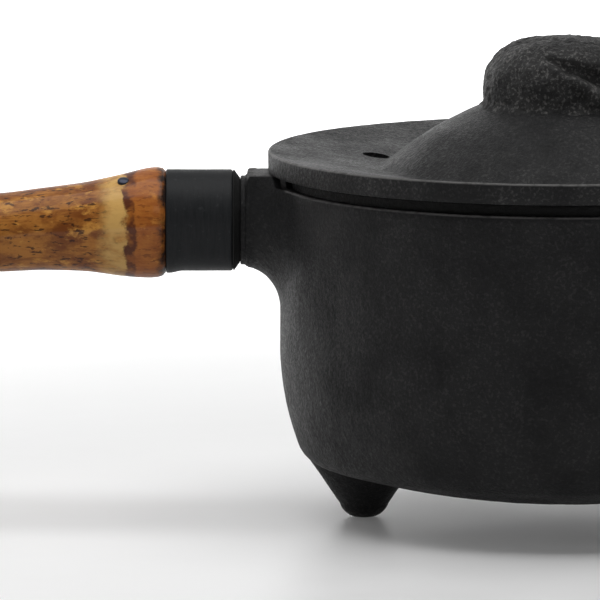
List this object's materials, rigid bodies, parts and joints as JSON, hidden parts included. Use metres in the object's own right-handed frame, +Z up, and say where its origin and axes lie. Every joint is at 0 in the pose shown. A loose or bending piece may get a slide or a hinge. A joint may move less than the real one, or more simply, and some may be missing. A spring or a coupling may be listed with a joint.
{
  "type": "side-handled cast iron teapot",
  "caption": "Round cast iron pot on cast feet, with a straight side handle of root wood, a short spout and a heavy lift-off lid with a steam vent and a lumpy knob.",
  "frame": {"origin": "on the surface it stands on, under the middle of the object's box; the pot's axis is at +70.2 mm in X and -15.4 mm in Y", "axes": "+Z up, handle towards -X, spout towards +Y"},
  "size_m": [0.2802, 0.1708, 0.114],
  "materials": {
    "black_iron": "matt black sand-cast iron, fine even grain, slightly satin",
    "lid_iron": "matt black cast iron, a little smoother and greyer than the pot",
    "knob_iron": "rough lumpy black cast iron",
    "ferrule_black": "matt black lacquered sleeve",
    "black_rubber": "matt black",
    "root_wood": "glossy varnished root wood, mottled tan and burnt brown",
    "pin_steel": "blued steel, dark",
    "steel": "plain steel"
  },
  "bodies": {
    "pot": {"pot_body": "black_iron", "foot_handle_side": "black_iron", "foot_front": "black_iron", "foot_back": "black_iron", "spout": "black_iron", "neck_washer": "black_rubber", "ferrule": "ferrule_black", "grip": "root_wood", "grip_pin": "pin_steel", "tang_rod": "steel", "end_washer": "steel", "end_nut": "steel"},
    "lid": {"lid_plate": "lid_iron", "lid_knob": "knob_iron", "stud_washer": "steel", "knob_stud": "steel"}
  },
  "joints": [
    {"name": "lid_lift", "type": "slide", "parent": "pot", "child": "lid", "axis": [0, 0, 1], "range_m": [0, 0.06]}
  ]
}
